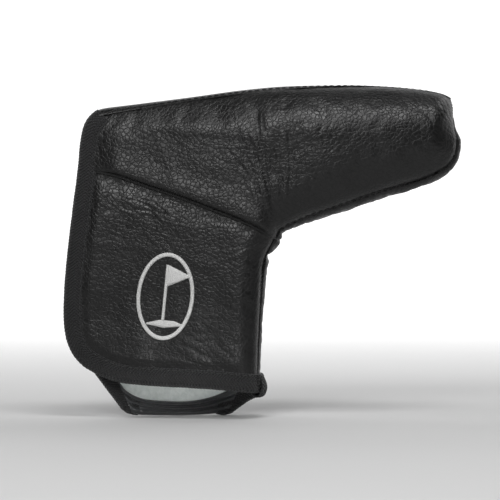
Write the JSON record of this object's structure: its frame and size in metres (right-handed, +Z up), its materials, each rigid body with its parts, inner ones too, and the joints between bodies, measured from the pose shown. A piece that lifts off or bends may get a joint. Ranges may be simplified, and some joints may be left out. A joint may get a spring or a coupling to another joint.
{
  "type": "putter head cover",
  "caption": "Padded black leather head cover for a blade putter, with bound edges, a grey lining and a hook-and-loop front flap.",
  "frame": {"origin": "centre of the mouth, at the height of the front hem", "axes": "+Z up the neck, +X towards the toe of the putter, -Y out of the front face"},
  "size_m": [0.187, 0.044, 0.1547],
  "materials": {
    "leather": "black pebbled leatherette, satin sheen",
    "foam": "open-cell padding",
    "lining": "light grey brushed lining",
    "binding": "black herringbone twill tape",
    "facing": "smooth black leatherette",
    "thread": "black polyester thread",
    "hook": "black hook tape",
    "loop": "black brushed loop tape",
    "emblem": "white satin-stitch embroidery"
  },
  "bodies": {
    "cover": {"front_toe_leather": "leather", "front_neck_leather": "leather", "back_toe_leather": "leather", "back_neck_leather": "leather", "gusset_leather": "leather", "front_foam": "foam", "back_foam": "foam", "gusset_foam": "foam", "front_lining": "lining", "back_lining": "lining", "gusset_lining": "lining", "back_binding": "binding", "gusset_binding": "binding", "hem_facing": "facing", "hook_tape": "hook", "back_binding_stitch": "thread", "top_seam_stitch": "thread"},
    "front_flap": {"flap_toe_leather": "leather", "flap_neck_leather": "leather", "flap_foam": "foam", "flap_lining": "lining", "front_binding": "binding", "loop_tape": "loop", "front_binding_stitch": "thread", "emblem": "emblem"}
  },
  "joints": [
    {"name": "front_flap_open", "type": "hinge", "parent": "cover", "child": "front_flap", "pos_m": [0.02, -0.01697, 0.03997], "axis": [-0.5273, 0.1062, 0.843], "range_deg": [0, 40]}
  ]
}
